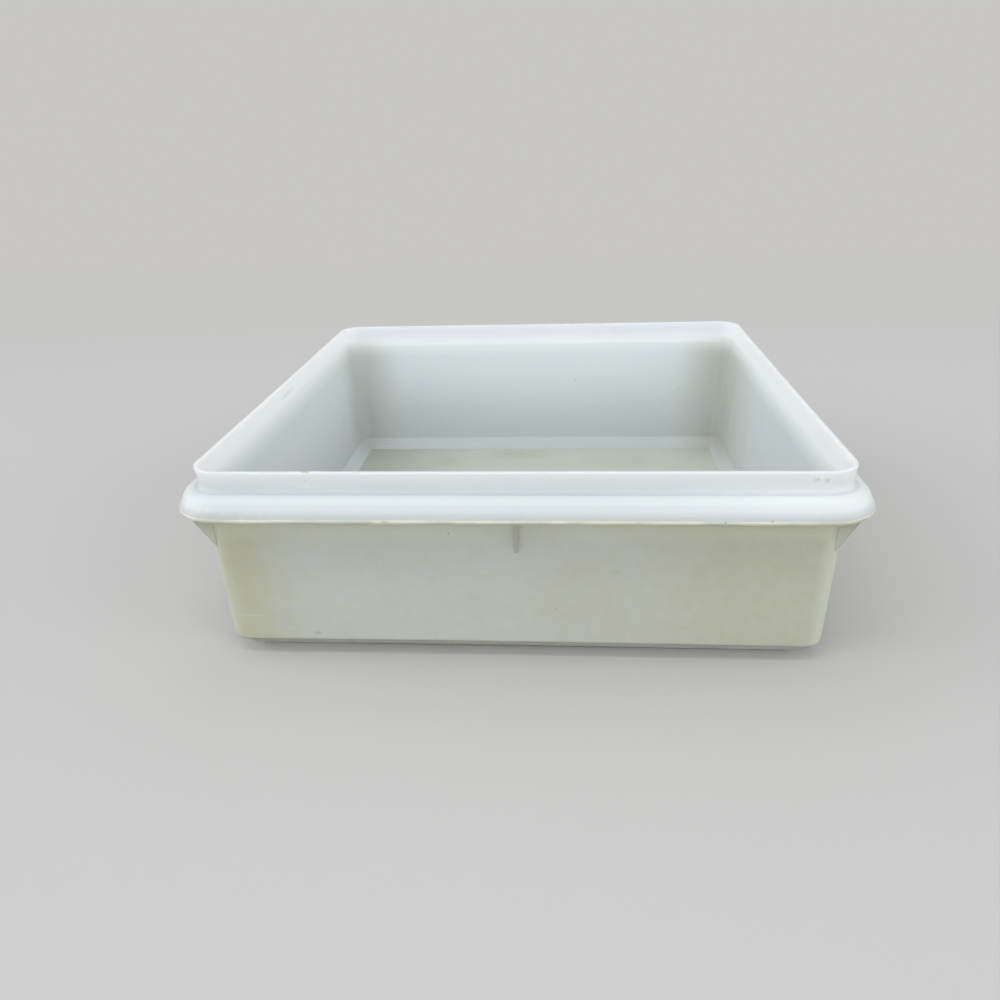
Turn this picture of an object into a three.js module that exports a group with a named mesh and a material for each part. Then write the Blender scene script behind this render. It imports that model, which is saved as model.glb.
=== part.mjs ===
// Open square food tub: a drafted box on a bevelled base, with a lid rim above a hooked flange
// that gusset ribs brace from below. Millimetres, +Z up, front towards -Y.
// The origin is on the ground, under the middle of the tub.
import * as THREE from 'three';

// Body
const HEIGHT = 80.3; // foot to rim crest
const BODY_WIDTH = 230.4; // across the walls, at the knee above the bevel
const CORNER_RADIUS = 8.4; // outside round of the corners, at the knee
const WALL_THICKNESS = 2;
const WALL_DRAFT = 1.94; // degrees that the walls lean out

// Base
const BEVEL_HEIGHT = 8; // foot to knee
const BEVEL_REACH = 9.2; // knee to the foot's edge, inwards
const KNEE_ROUND = 1.2; // outside, between bevel and wall
const CREASE_ROUND = 1; // inside, above and below the bevel
const FOOT_BAND = 5.5; // width of the flat that the tub stands on
const FOOT_HEIGHT = 1; // underside of the floor above the foot
const FLOOR_THICKNESS = 2.1;
const FLOOR_CORNER_ROUND = 0.8;

// Rim
const RIM_HEIGHT = 8.2; // above the flange
const RIM_STEP = 0.56; // rim's foot outside the line of the wall
const RIM_LEAN = 0.9; // outwards, over the rim's height
const RIM_THICKNESS = 1.7;
const CREST_ROUND = 0.5;

// Flange and skirt
const FLANGE_REACH = 4.94; // rim to shoulder
const FLANGE_FALL = 0.25; // rim to shoulder, downwards
const FLANGE_THICKNESS = 2; // against the rim
const SHOULDER_ROUND = 2.9;
const SKIRT_REACH = 3.6; // shoulder to lip
const SKIRT_DROP = 6.68; // shoulder to lip, downwards
const SKIRT_THICKNESS = 1.6;
const LIP_BAND = 1.5; // height of the upright face along the lip
const LIP_ROUND = 0.35;

// Gusset ribs
const RIB_DROP = 15.9; // lip to the rib's toe on the wall
const RIB_SETBACK = 0.6; // rib's outer point above the lip
const RIB_TOP_WIDTH = 1.7;
const RIB_TOE_WIDTH = 1.2;

// Facets
const CORNER_FACET_PAIRS = 3; // facets on each side of the one that faces the corner rib
const ROUND_FACETS = 3; // facets of a round in a section

const SIDES = ['right', 'back', 'left', 'front'];
const CORNERS = ['back_right', 'back_left', 'front_left', 'front_right'];
const QUARTER_TURN = Math.PI / 2;
const CORNER_FACETS = 2 * CORNER_FACET_PAIRS + 1;
const CORNER_MIDDLE = CORNER_FACETS / 2;

// Heights and half-widths that the pieces share
const cornerCentre = BODY_WIDTH / 2 - CORNER_RADIUS;
const draft = THREE.MathUtils.degToRad(WALL_DRAFT);
const bevel = Math.atan2(BEVEL_REACH, BEVEL_HEIGHT);
const knee = new THREE.Vector2(BODY_WIDTH / 2, BEVEL_HEIGHT);
const innerKnee = insetCorner(knee, draft, bevel, WALL_THICKNESS);
const floorTop = FOOT_HEIGHT + FLOOR_THICKNESS;
const footOuter = knee.x - BEVEL_REACH;
const footInner = footOuter - FOOT_BAND;
const panelEdge = footInner - FOOT_HEIGHT;
const wallBottom = innerKnee.y + KNEE_ROUND;
const rimBottom = HEIGHT - RIM_HEIGHT;
const wallTop = rimBottom - FLANGE_THICKNESS;
const rimOuter = wallOuter(rimBottom) + RIM_STEP;
const rimInner = rimOuter - RIM_THICKNESS;
const shoulder = new THREE.Vector2(rimOuter + FLANGE_REACH, rimBottom - FLANGE_FALL);
const skirtSlope = SKIRT_REACH / SKIRT_DROP;
const lip = new THREE.Vector2(shoulder.x + SKIRT_REACH, shoulder.y - SKIRT_DROP);
const lipBottom = lip.y - LIP_BAND;

function wallOuter(z) {
  return knee.x + (z - knee.y) * Math.tan(draft);
}

function wallInner(z) {
  return innerKnee.x + (z - innerKnee.y) * Math.tan(draft);
}

function skirtOuter(z) {
  return shoulder.x + (shoulder.y - z) * skirtSlope;
}

function skirtInner(z) {
  return skirtOuter(z) - SKIRT_THICKNESS * Math.hypot(1, skirtSlope);
}

// Where the inside faces meet, behind a corner of two walls that lean out by two angles
function insetCorner(corner, leanAbove, leanBelow, thickness) {
  const above = new THREE.Vector2(-Math.cos(leanAbove), Math.sin(leanAbove));
  const below = new THREE.Vector2(-Math.cos(leanBelow), Math.sin(leanBelow));
  const share = thickness / (1 + above.dot(below));
  return above.add(below).multiplyScalar(share).add(corner);
}

// A closed section from corners of [half-width, height, round], anticlockwise, the first one sharp
function section(corners) {
  const points = corners.map(([h, z]) => new THREE.Vector2(h, z));
  const path = new THREE.Path().moveTo(points[0].x, points[0].y);
  for (let i = 1; i < corners.length; i += 1) {
    const round = corners[i][2] ?? 0;
    const corner = points[i];
    if (round === 0) {
      path.lineTo(corner.x, corner.y);
      continue;
    }
    const back = points[i - 1].clone().sub(corner);
    const on = points[(i + 1) % points.length].clone().sub(corner);
    const room = Math.min(back.length(), on.length()) / 2;
    const tangent = Math.min(round / Math.tan(back.angleTo(on) / 2), room);
    const start = back.setLength(tangent).add(corner);
    const end = on.setLength(tangent).add(corner);
    path.lineTo(start.x, start.y);
    path.quadraticCurveTo(corner.x, corner.y, end.x, end.y);
  }
  return path.getPoints(ROUND_FACETS);
}

// A point on the level rounded square of one half-width, at a facet step of one of its corners
function facetPoint(point, corner, step) {
  const round = Math.max(point.x - cornerCentre, FLOOR_CORNER_ROUND);
  const centre = point.x - round;
  const turn = (corner + step / CORNER_FACETS) * QUARTER_TURN;
  const diagonal = (corner + 0.5) * QUARTER_TURN;
  return new THREE.Vector3(
    Math.sign(Math.cos(diagonal)) * centre + round * Math.cos(turn),
    Math.sign(Math.sin(diagonal)) * centre + round * Math.sin(turn),
    point.y,
  );
}

// The same, where a half step is the middle of a flat facet
function contourPoint(point, { corner, step }) {
  const before = facetPoint(point, corner, Math.floor(step));
  const after = facetPoint(point, corner, Math.ceil(step));
  return before.lerp(after, 0.5);
}

function cornerStations(corner, steps) {
  return steps.map((step) => ({ corner: (corner + 4) % 4, step }));
}

const FACET_STEPS = Array.from({ length: CORNER_FACETS + 1 }, (_, step) => step);
const WHOLE_ROUND = CORNERS.flatMap((_, corner) => cornerStations(corner, FACET_STEPS));

// One side of the tub, from the middle of one corner to the middle of the next
function sideStations(side) {
  const leaving = FACET_STEPS.filter((step) => step > CORNER_MIDDLE);
  const arriving = FACET_STEPS.filter((step) => step < CORNER_MIDDLE);
  return [
    ...cornerStations(side - 1, [CORNER_MIDDLE, ...leaving]),
    ...cornerStations(side, [...arriving, CORNER_MIDDLE]),
  ];
}

// Sweeps a section through the stations: once round and closed, or open with flat ends
function sweep(outline, stations, closed) {
  const count = outline.length;
  const vertices = stations.flatMap((station) => outline.map((point) => contourPoint(point, station)));
  const triangles = [];
  const spans = closed ? stations.length : stations.length - 1;
  for (let i = 0; i < spans; i += 1) {
    const here = i * count;
    const next = ((i + 1) % stations.length) * count;
    for (let j = 0; j < count; j += 1) {
      const k = (j + 1) % count;
      triangles.push(here + j, next + j, next + k, here + j, next + k, here + k);
    }
  }
  if (!closed) {
    const last = spans * count;
    for (const [a, b, c] of THREE.ShapeUtils.triangulateShape(outline, [])) {
      triangles.push(a, b, c, last + a, last + c, last + b);
    }
  }
  const geometry = new THREE.BufferGeometry().setFromPoints(vertices);
  geometry.setIndex(triangles);
  return geometry;
}

function ring(corners) {
  return sweep(section(corners), WHOLE_ROUND, true);
}

function floorPanel() {
  const edge = new THREE.Vector2(panelEdge, 0);
  const contour = WHOLE_ROUND.map((station) => contourPoint(edge, station));
  const shape = new THREE.Shape(contour.map(({ x, y }) => new THREE.Vector2(x, y)));
  const panel = new THREE.ExtrudeGeometry(shape, { depth: FLOOR_THICKNESS, bevelEnabled: false });
  return panel.translate(0, 0, FOOT_HEIGHT);
}

function baseBevel() {
  const creaseReach = (innerKnee.y - floorTop) * Math.tan(bevel);
  return ring([
    [panelEdge, FOOT_HEIGHT],
    [footInner, 0],
    [footOuter, 0],
    [knee.x, knee.y, KNEE_ROUND],
    [wallOuter(wallBottom), wallBottom],
    [wallInner(wallBottom), wallBottom],
    [innerKnee.x, innerKnee.y, CREASE_ROUND],
    [innerKnee.x - creaseReach, floorTop, CREASE_ROUND],
    [panelEdge, floorTop],
  ]);
}

function wall(side) {
  const outline = section([
    [wallInner(wallBottom), wallBottom],
    [wallOuter(wallBottom), wallBottom],
    [wallOuter(wallTop), wallTop],
    [wallInner(wallTop), wallTop],
  ]);
  return sweep(outline, sideStations(side), false);
}

function flange() {
  return ring([
    [wallInner(wallTop), wallTop],
    [skirtOuter(wallTop), wallTop],
    [shoulder.x, shoulder.y, SHOULDER_ROUND],
    [rimOuter, rimBottom],
    [rimInner, rimBottom],
  ]);
}

function skirt() {
  return ring([
    [skirtInner(wallTop), wallTop],
    [skirtInner(lipBottom), lipBottom, LIP_ROUND],
    [lip.x, lipBottom, LIP_ROUND],
    [lip.x, lip.y, LIP_ROUND],
    [skirtOuter(wallTop), wallTop],
  ]);
}

function rim() {
  return ring([
    [rimInner, rimBottom],
    [rimOuter, rimBottom],
    [rimOuter + RIM_LEAN, HEIGHT, CREST_ROUND],
    [rimInner + RIM_LEAN, HEIGHT, CREST_ROUND],
  ]);
}

// A half-width measured outwards from the tub's axis, at the middle of a side or along a corner's diagonal
function sideReach(h) {
  return h;
}

function cornerReach(h) {
  const flatness = Math.cos(QUARTER_TURN / CORNER_FACETS / 2);
  return cornerCentre * Math.SQRT2 + (h - cornerCentre) * flatness;
}

// A gusset that fills the angle between wall, flange and skirt, thinner towards its toe
function rib(reach, turn) {
  const toe = lipBottom - RIB_DROP;
  const point = lipBottom + RIB_SETBACK;
  const shape = new THREE.Shape([
    new THREE.Vector2(reach(wallOuter(toe)), toe),
    new THREE.Vector2(reach(skirtInner(point)), point),
    new THREE.Vector2(reach(skirtInner(wallTop)), wallTop),
    new THREE.Vector2(reach(wallOuter(wallTop)), wallTop),
  ]);
  const geometry = new THREE.ExtrudeGeometry(shape, { depth: 1, bevelEnabled: false });
  const position = geometry.getAttribute('position');
  for (let i = 0; i < position.count; i += 1) {
    const out = position.getX(i);
    const z = position.getY(i);
    const width = THREE.MathUtils.mapLinear(z, toe, wallTop, RIB_TOE_WIDTH, RIB_TOP_WIDTH);
    const across = (0.5 - position.getZ(i)) * width;
    const x = out * Math.cos(turn) - across * Math.sin(turn);
    const y = out * Math.sin(turn) + across * Math.cos(turn);
    position.setXYZ(i, x, y, z);
  }
  return geometry;
}

// Aged white polyethylene: clean and bluish on the rim and flange, ivory on the outside of the walls
const FINISHES = {
  floor: { color: 0xd3d8d0, roughness: 0.5 },
  wall: { color: 0xd9dbce, roughness: 0.48 },
  collar: { color: 0xe4eaeb, roughness: 0.42 },
  rib: { color: 0xcfd1bf, roughness: 0.5 },
};

function piece(name, geometry, finish) {
  const faceted = geometry.index ? geometry.toNonIndexed() : geometry;
  faceted.computeVertexNormals();
  const material = new THREE.MeshStandardMaterial({ ...FINISHES[finish], metalness: 0 });
  const mesh = new THREE.Mesh(faceted, material);
  mesh.name = name;
  return mesh;
}

const tub = new THREE.Group();
tub.add(piece('floor_panel', floorPanel(), 'floor'));
tub.add(piece('base_bevel', baseBevel(), 'wall'));
tub.add(piece('flange', flange(), 'collar'));
tub.add(piece('skirt', skirt(), 'collar'));
tub.add(piece('rim', rim(), 'collar'));
SIDES.forEach((name, side) => {
  tub.add(piece(`wall_${name}`, wall(side), 'wall'));
  tub.add(piece(`rib_${name}`, rib(sideReach, side * QUARTER_TURN), 'rib'));
});
CORNERS.forEach((name, corner) => {
  tub.add(piece(`rib_${name}`, rib(cornerReach, (corner + 0.5) * QUARTER_TURN), 'rib'));
});

export default tub;
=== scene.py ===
# %% [markdown]
# # A square food tub in white polyethylene
#
# The real tub is one injection moulding: a floor on a bevelled base, four walls that lean out a
# little, and a collar of rim, flange and hooked skirt that eight gussets brace from below. The
# CAD model gives its sizes as seventeen pieces. Here the same sizes make one unbroken skin, with
# the gussets set on it, so that light can spread inside the plastic with no seam to stop it.

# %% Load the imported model
import math

import bmesh
import bpy
from mathutils import Matrix, Vector


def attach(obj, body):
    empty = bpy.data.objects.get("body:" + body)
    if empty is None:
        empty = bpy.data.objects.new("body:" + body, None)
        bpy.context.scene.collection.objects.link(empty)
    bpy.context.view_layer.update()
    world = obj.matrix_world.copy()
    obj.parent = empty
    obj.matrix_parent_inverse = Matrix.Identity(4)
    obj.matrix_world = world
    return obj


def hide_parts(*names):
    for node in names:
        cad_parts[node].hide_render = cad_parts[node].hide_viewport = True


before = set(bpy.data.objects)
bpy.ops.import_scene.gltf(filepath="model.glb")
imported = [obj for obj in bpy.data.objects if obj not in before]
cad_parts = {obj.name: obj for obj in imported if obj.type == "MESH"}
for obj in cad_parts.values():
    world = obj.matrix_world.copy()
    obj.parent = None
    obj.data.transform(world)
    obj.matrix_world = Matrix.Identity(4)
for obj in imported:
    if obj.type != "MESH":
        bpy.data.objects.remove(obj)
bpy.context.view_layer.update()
MM = 0.001

# %% [markdown]
# ## Camera
#
# The view looks down into the tub from a little above its front edge, close enough for the walls
# to converge strongly. A camera can be turned until the picture looks right, but here its place,
# lens, turn, tilt and roll were solved from the tub's own edges, taking the plan as square.

# %% Camera
LENS, SENSOR = 29.50, 36.0
CAMERA_PLACE = Vector((17.90, -380.19, 188.15)) * MM
CAMERA_TURN = math.radians(5.042)
CAMERA_TILT = math.radians(65.741)
CAMERA_ROLL = math.radians(-1.977)

camera = bpy.data.objects.new("camera", bpy.data.cameras.new("camera"))
bpy.context.collection.objects.link(camera)
camera.data.sensor_width = SENSOR
camera.data.lens = LENS
camera.data.clip_start = 0.01
camera.matrix_world = (
    Matrix.Translation(CAMERA_PLACE)
    @ Matrix.Rotation(CAMERA_TURN, 4, "Z")
    @ Matrix.Rotation(CAMERA_TILT, 4, "X")
    @ Matrix.Rotation(CAMERA_ROLL, 4, "Z")
)
bpy.context.scene.camera = camera
print("camera at", [round(v / MM) for v in CAMERA_PLACE], "mm")

# %% [markdown]
# ## Sizes
#
# All that the collar, walls and base need is one section, in millimetres from the tub's axis and
# from the ground. The moulder sizes it so that the walls draw off the core, and so that a lid can
# snap over the rim and hook under the lip.

# %% Sizes
HEIGHT = 80.3
KNEE, CORNER_RADIUS = 115.2, 8.4  # half-width and corner round where the bevel meets the wall
BEVEL_HEIGHT, BEVEL_REACH = 8.0, 9.2
WALL_THICKNESS, WALL_DRAFT = 2.0, 1.94  # the draft in degrees
FOOT_BAND, FOOT_HEIGHT = 5.5, 1.0
FLOOR_THICKNESS, FLOOR_EDGE = 2.1, 99.0  # the edge is where the section ends and grids begin
RIM_HEIGHT, RIM_STEP, RIM_LEAN, RIM_THICKNESS = 8.2, 0.56, 0.9, 1.7
FLANGE_REACH, FLANGE_FALL, FLANGE_THICKNESS = 4.94, 0.25, 2.0
SKIRT_REACH, SKIRT_DROP, SKIRT_THICKNESS = 3.6, 6.68, 1.6
LIP_BAND = 1.5
UNEVENNESS = 0.05  # how far the surface strays, for which the lip is set in by as much

CORNER_CENTRE = KNEE - CORNER_RADIUS
WALL_SLOPE = math.tan(math.radians(WALL_DRAFT))
FLOOR_TOP = FOOT_HEIGHT + FLOOR_THICKNESS
RIM_BOTTOM = HEIGHT - RIM_HEIGHT
FLANGE_UNDERSIDE = RIM_BOTTOM - FLANGE_THICKNESS
SKIRT_SLOPE = SKIRT_REACH / SKIRT_DROP


def wall_outer(z):
    return KNEE + (z - BEVEL_HEIGHT) * WALL_SLOPE


RIM_OUTER = wall_outer(RIM_BOTTOM) + RIM_STEP
SHOULDER, SHOULDER_HEIGHT = RIM_OUTER + FLANGE_REACH, RIM_BOTTOM - FLANGE_FALL
LIP, LIP_TOP = SHOULDER + SKIRT_REACH - UNEVENNESS, SHOULDER_HEIGHT - SKIRT_DROP
LIP_HEIGHT = LIP_TOP - LIP_BAND


def skirt_outer(z):
    return SHOULDER + (SHOULDER_HEIGHT - z) * SKIRT_SLOPE


def skirt_inner(z):
    return skirt_outer(z) - SKIRT_THICKNESS * math.hypot(1, SKIRT_SLOPE)


def inner_knee():
    """Where the inside faces of wall and bevel meet, one wall thickness behind the outside."""
    draft, bevel = math.atan(WALL_SLOPE), math.atan2(BEVEL_REACH, BEVEL_HEIGHT)
    inward = Vector((-math.cos(draft), math.sin(draft))) + Vector((-math.cos(bevel), math.sin(bevel)))
    share = WALL_THICKNESS / (1 + math.cos(draft - bevel))
    return Vector((KNEE, BEVEL_HEIGHT)) + inward * share


INNER_KNEE = inner_knee()


def wall_inner(z):
    return INNER_KNEE.x + (z - INNER_KNEE.y) * WALL_SLOPE


CREASE = INNER_KNEE.x - (INNER_KNEE.y - FLOOR_TOP) * BEVEL_REACH / BEVEL_HEIGHT
print("lip", round(LIP, 2), "rim", round(RIM_OUTER, 2), "crease", round(CREASE, 2))

# %% [markdown]
# ## The section line
#
# The section is drawn as a bare chain of corners, from the floor's underside, out round the
# collar, and back in to the floor's top. Each corner carries the radius of its round and five
# marks for the finish: whether it is on the outside of the tub, how far it belongs to the clean
# collar, how near it is to the lip, how deep light sinks in there, and how much painted shade it
# gets at the root of the rim. A mark fades evenly from one corner to the next.

# %% Section line
FOOT_OUTER = KNEE - BEVEL_REACH
FOOT_INNER = FOOT_OUTER - FOOT_BAND
SHOULDER_ROUND = 5.0
BEAD = 0.22  # chamfer along the top of the lip's edge
BAND_SOFT = 1.0  # how far the step inside the rim spreads, up and down
# Inside, the collar's white fades down the inner walls to this height: painted light on the top of the
# walls.
COLLAR_FADE = 62.0  # height at which the clean collar ends inside
KNEE_TOP = 12.0  # height at which the glow of the base ends
# Above this height the wall under the lip is painted paler: painted light that fills the lip's shade.
UNDER_LIP = 50.0  # height from which the lip shelters the wall
SKIRT_THIN, KNEE_THIN = 0.7, 0.2
OUTSIDE, INSIDE = 1.0, 0.0
BAND_BOTTOM, BAND_TOP = FLANGE_UNDERSIDE - BAND_SOFT, RIM_BOTTOM + BAND_SOFT
# Corners: half-width, height, round, outside, collar, lip, thin, root (painted shade)
SECTION = [
    (FLOOR_EDGE, FOOT_HEIGHT, 0, OUTSIDE, 0, 0, 0, 0),
    (FOOT_INNER - FOOT_HEIGHT, FOOT_HEIGHT, 0.4, OUTSIDE, 0, 0, 0, 0),
    (FOOT_INNER, 0, 0.4, OUTSIDE, 0, 0, 0, 0),
    (FOOT_OUTER, 0, 0.7, OUTSIDE, 0, 0, 1, 0),
    (KNEE, BEVEL_HEIGHT, 1.2, OUTSIDE, 0, 0, KNEE_THIN, 0),
    (wall_outer(KNEE_TOP), KNEE_TOP, 0, OUTSIDE, 0, 0, 0, 0),
    (wall_outer(UNDER_LIP), UNDER_LIP, 0, OUTSIDE, 0, 0, 0, 0),
    (wall_outer(FLANGE_UNDERSIDE), FLANGE_UNDERSIDE, 1, OUTSIDE, 0, 0, SKIRT_THIN, 0),
    (skirt_inner(FLANGE_UNDERSIDE), FLANGE_UNDERSIDE, 0.8, OUTSIDE, 1, 0, SKIRT_THIN, 0),
    (skirt_inner(LIP_HEIGHT), LIP_HEIGHT, 0.35, OUTSIDE, 1, 1, SKIRT_THIN, 0),
    (LIP, LIP_HEIGHT, 0.7, OUTSIDE, 1, 1, 0, 0),
    (LIP, LIP_TOP, 0.3, OUTSIDE, 1, 1, 0, 0),
    (LIP - BEAD, LIP_TOP + BEAD, 0.3, OUTSIDE, 1, 0.8, SKIRT_THIN, 0),
    (SHOULDER, SHOULDER_HEIGHT, SHOULDER_ROUND, OUTSIDE, 1, 0, 0, 0.7),
    (RIM_OUTER, RIM_BOTTOM, 1.8, OUTSIDE, 1, 0, 0.6, 1),
    (RIM_OUTER + RIM_LEAN, HEIGHT, 0.5, OUTSIDE, 1, 0, 1, 0),
    (RIM_OUTER + RIM_LEAN - RIM_THICKNESS, HEIGHT, 0.5, INSIDE, 1, 0, 1, 0),
    (RIM_OUTER - RIM_THICKNESS, BAND_TOP, 5, INSIDE, 1, 0, 1, 0),
    (wall_inner(BAND_BOTTOM), BAND_BOTTOM, 5, INSIDE, 0.6, 0, 0.2, 0),
    (wall_inner(COLLAR_FADE), COLLAR_FADE, 0, INSIDE, 0, 0, 0, 0),
    (INNER_KNEE.x, INNER_KNEE.y, 1, INSIDE, 0, 0, 0, 0),
    (CREASE, FLOOR_TOP, 1, INSIDE, 0, 0, 0, 0),
    (FLOOR_EDGE, FLOOR_TOP, 0, INSIDE, 0, 0, 0, 0),
]
MARKS = ("outside", "collar", "lip", "thin", "root")


def section_mesh():
    mesh = bpy.data.meshes.new("section_line")
    places = [(row[0] * MM, 0, row[1] * MM) for row in SECTION]
    mesh.from_pydata(places, [(i, i + 1) for i in range(len(places) - 1)], [])
    rounds = [row[2] * MM for row in SECTION]
    mesh.attributes.new("round", "FLOAT", "POINT").data.foreach_set("value", rounds)
    for i, name in enumerate(MARKS):
        values = [row[3 + i] for row in SECTION]
        mesh.attributes.new(name, "FLOAT", "POINT").data.foreach_set("value", values)
    return mesh


section_line = section_mesh()
print("section line of", len(section_line.vertices), "corners")

# %% [markdown]
# ## Small helpers for node trees
#
# A node tree is easier to read when each line adds one node and says what feeds it. These helpers
# do that for geometry trees and for shader trees alike.

# %% Node helpers


def add(tree, kind, inputs=None, **settings):
    """Adds a node, sets its options, and feeds its inputs with sockets or plain values."""
    node = tree.nodes.new(kind)
    for name, value in settings.items():
        setattr(node, name, value)
    for key, value in (inputs or {}).items():
        socket = node.inputs[key]
        if isinstance(value, bpy.types.NodeSocket):
            tree.links.new(value, socket)
        else:
            socket.default_value = value
    return node


def calc(tree, operation, *values):
    return add(tree, "ShaderNodeMath", dict(enumerate(values)), operation=operation).outputs[0]


def ramp(tree, value, start, end, low=0.0, high=1.0):
    """A smooth step from low to high, as the value goes from start to end."""
    inputs = {"Value": value, "From Min": start, "From Max": end, "To Min": low, "To Max": high}
    node = add(tree, "ShaderNodeMapRange", inputs, interpolation_type="SMOOTHSTEP")
    return node.outputs["Result"]


def new_shape_tree(name, sizes):
    """A geometry tree with named inputs, and the group's sockets under the same names."""
    tree = bpy.data.node_groups.new(name, "GeometryNodeTree")
    tree.interface.new_socket("Geometry", in_out="INPUT", socket_type="NodeSocketGeometry")
    tree.interface.new_socket("Geometry", in_out="OUTPUT", socket_type="NodeSocketGeometry")
    for title, value in sizes.items():
        kind = {int: "NodeSocketInt", float: "NodeSocketFloat"}.get(type(value), "NodeSocketMaterial")
        tree.interface.new_socket(title, in_out="INPUT", socket_type=kind)
    return tree, tree.nodes.new("NodeGroupInput").outputs


def close_tree(tree, geometry, material):
    realized = add(tree, "GeometryNodeRealizeInstances", {"Geometry": geometry}).outputs[0]
    smooth = add(tree, "GeometryNodeSetShadeSmooth", {"Geometry": realized}).outputs[0]
    finished = add(tree, "GeometryNodeSetMaterial", {"Geometry": smooth, "Material": material})
    add(tree, "NodeGroupOutput", {"Geometry": finished.outputs[0]})


def shaped(name, start_mesh, tree, sizes, bevel=None):
    """Runs a tree on a starting mesh, and returns an object that holds the plain result."""
    scratch = bpy.data.objects.new(name + "_scratch", start_mesh)
    bpy.context.collection.objects.link(scratch)
    modifier = scratch.modifiers.new("shape", "NODES")
    modifier.node_group = tree
    sockets = {item.name: item.identifier for item in tree.interface.items_tree}
    for title, value in sizes.items():
        modifier[sockets[title]] = value
    if bevel:
        rounding = scratch.modifiers.new("edges", "BEVEL")
        rounding.width, rounding.segments, rounding.limit_method = bevel, 2, "ANGLE"
    depsgraph = bpy.context.evaluated_depsgraph_get()
    mesh = bpy.data.meshes.new_from_object(scratch.evaluated_get(depsgraph))
    bpy.data.objects.remove(scratch)
    mesh.name = name
    piece = bpy.data.objects.new(name, mesh)
    bpy.context.collection.objects.link(piece)
    return piece


def describe(piece):
    """Prints how many faces a finished piece has, its volume, and how many edges are open."""
    shape = bmesh.new()
    shape.from_mesh(piece.data)
    open_edges = sum(len(edge.link_faces) != 2 for edge in shape.edges)
    volume = round(shape.calc_volume(signed=True) * 1e6, 1)
    print(piece.name, "has", len(shape.faces), "faces,", volume, "cm3 and", open_edges, "open edges")
    shape.free()


print("helpers ready")

# %% [markdown]
# ## The finish: aged polyethylene
#
# The tub is white polyethylene that has gone a little ivory with age. It is neither clear nor
# opaque: light sinks in, spreads a few millimetres and comes out again, so the thin rim glows and
# edges look soft. A plain white paint would look like plaster. Subsurface scattering gives the
# glow, and layers of colour give the ageing of the plastic: the collar stayed clean, the outside of
# the walls turned ivory, most of all at the corners, and food left its marks on the floor. Other
# layers are painted light and shade: darker corners, lower walls and rim root, and paler places
# where light comes through the plastic. A few helpers make the layers short to write.

# %% Helpers for colours and patterns


def srgb(red, green, blue):
    """A colour as a paint program writes it, made linear for the shader."""
    parts = [v / 255 for v in (red, green, blue)]
    linear = [v / 12.92 if v <= 0.04045 else ((v + 0.055) / 1.055) ** 2.4 for v in parts]
    return (*linear, 1.0)


def mix(tree, factor, low, high):
    inputs = {0: factor, 6: low, 7: high}
    return add(tree, "ShaderNodeMix", inputs, data_type="RGBA").outputs[2]


def times(tree, *values):
    product = values[0]
    for value in values[1:]:
        product = calc(tree, "MULTIPLY", product, value)
    return product


def along(tree, axis, start, end, low=0.0, high=1.0):
    """A smooth step along one of the tub's axes, between two places in millimetres."""
    return ramp(tree, axis, start * MM, end * MM, low, high)


def noise(tree, place, size, detail=2.0, stretch=None, turn=(0, 0, 0)):
    """Cloudy noise whose blotches are about `size` millimetres across."""
    if stretch:
        inputs = {"Vector": place, "Rotation": turn, "Scale": stretch}
        place = add(tree, "ShaderNodeMapping", inputs).outputs[0]
    inputs = {"Vector": place, "Scale": 1 / (size * MM), "Detail": detail}
    return add(tree, "ShaderNodeTexNoise", inputs).outputs["Fac"]


def section_marks(tree):
    """The marks that a piece carries from the section, and the opposites of two of them."""
    mark = {name: add(tree, "ShaderNodeAttribute", attribute_name=name).outputs["Fac"] for name in MARKS}
    mark["inside"] = calc(tree, "SUBTRACT", 1.0, mark["outside"])
    mark["body"] = calc(tree, "SUBTRACT", 1.0, mark["collar"])
    return mark


print("colour helpers ready, for the marks", MARKS)

# %% [markdown]
# The collar sat under the lid and stayed as white as it was moulded. Inside, that white fades out
# a little below the rim, which paints the top of the inner walls lighter. Lower down, painted shade
# darkens the inside towards the floor, and darkens the left and right walls with a bluish cast.
# Painted shade also darkens the root of the rim and the flange out to the shoulder, less towards
# the right. Painting this on an image would need an unwrapped mesh. Here each layer is one colour
# mixed over the last by a soft mask, which comes from a mark of the section or from a place on
# the tub.

# %% Collar and inside of the walls
CLEAN = srgb(240, 245, 242)
WORN = srgb(225, 230, 231)
# Painted shade: the inside darkens towards the floor, and the left and right walls darken with a bluish
# cast.
LOW_SHADE, LOW_SHADE_HEIGHTS = srgb(206, 212, 212), (58, 8)
SIDE_SHADE, SIDE_WALL = srgb(207, 213, 215), (106, 113)
SIDE_SHADE_LEFT, SIDE_SHADE_RIGHT = 0.35, 0.9
# Painted shade at the root of the rim, across the flange to the shoulder, lighter towards the right.
ROOT_SHADE, ROOT_SHADE_SPAN = srgb(198, 205, 207), (30, 110)
ROOT_SHADE_LEFT, ROOT_SHADE_RIGHT = 0.8, 0.4


def collar_and_inside(tree, axes, mark):
    # painted shade, lower down and on the side walls
    inner_walls = mix(tree, along(tree, axes[2], *LOW_SHADE_HEIGHTS), WORN, LOW_SHADE)
    left = along(tree, axes[0], *(-x for x in SIDE_WALL), 0.0, SIDE_SHADE_LEFT)
    right = along(tree, axes[0], *SIDE_WALL, 0.0, SIDE_SHADE_RIGHT)
    inner_walls = mix(tree, calc(tree, "ADD", left, right), inner_walls, SIDE_SHADE)
    colour = mix(tree, mark["body"], CLEAN, inner_walls)
    # painted shade in the root of the rim and on the shoulder
    root_shade_mask = along(tree, axes[0], *ROOT_SHADE_SPAN, ROOT_SHADE_LEFT, ROOT_SHADE_RIGHT)
    return mix(tree, times(tree, mark["root"], root_shade_mask), colour, ROOT_SHADE)


print("collar and inside in 5 tints")

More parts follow.
